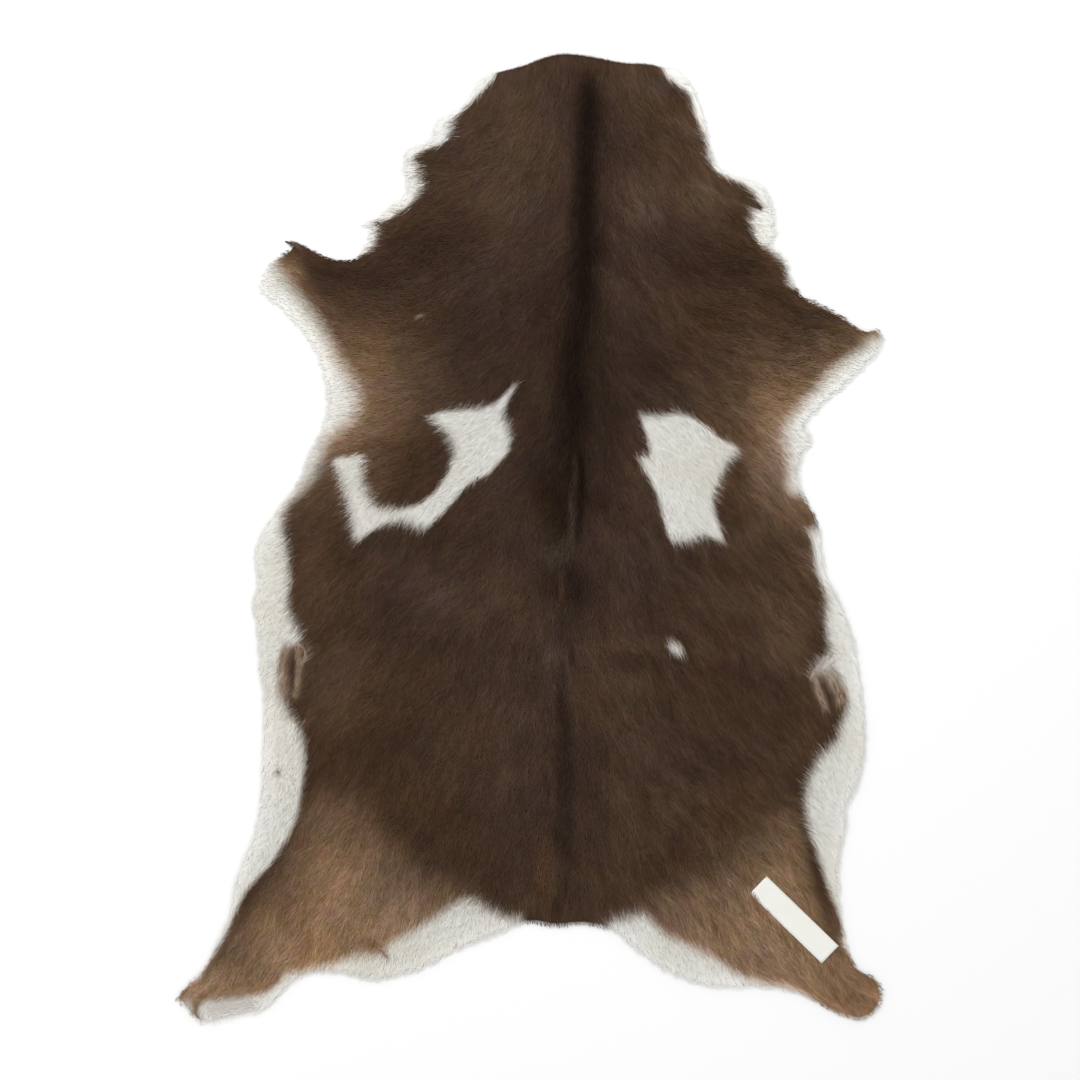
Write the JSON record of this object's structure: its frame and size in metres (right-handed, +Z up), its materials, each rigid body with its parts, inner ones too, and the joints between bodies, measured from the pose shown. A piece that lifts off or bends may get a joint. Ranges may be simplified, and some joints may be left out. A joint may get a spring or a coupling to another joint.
{
  "type": "goatskin",
  "caption": "Flat hide rug with a short smooth coat, a neck cut straight across, leg ends at its corners and a plain sewn label.",
  "frame": {"origin": "below the middle of the hide's box, on the surface that the hide lies on", "axes": "+Y towards the neck, +X towards the right legs seen from above, +Z up out of the coat"},
  "size_m": [0.7288, 1, 0.0091],
  "materials": {
    "coat": "short dark brown hair with tan legs and off-white patches, on natural leather",
    "label": "plain off-white woven tape"
  },
  "bodies": {
    "root": {"goatskin": "coat", "label": "label"}
  },
  "joints": []
}
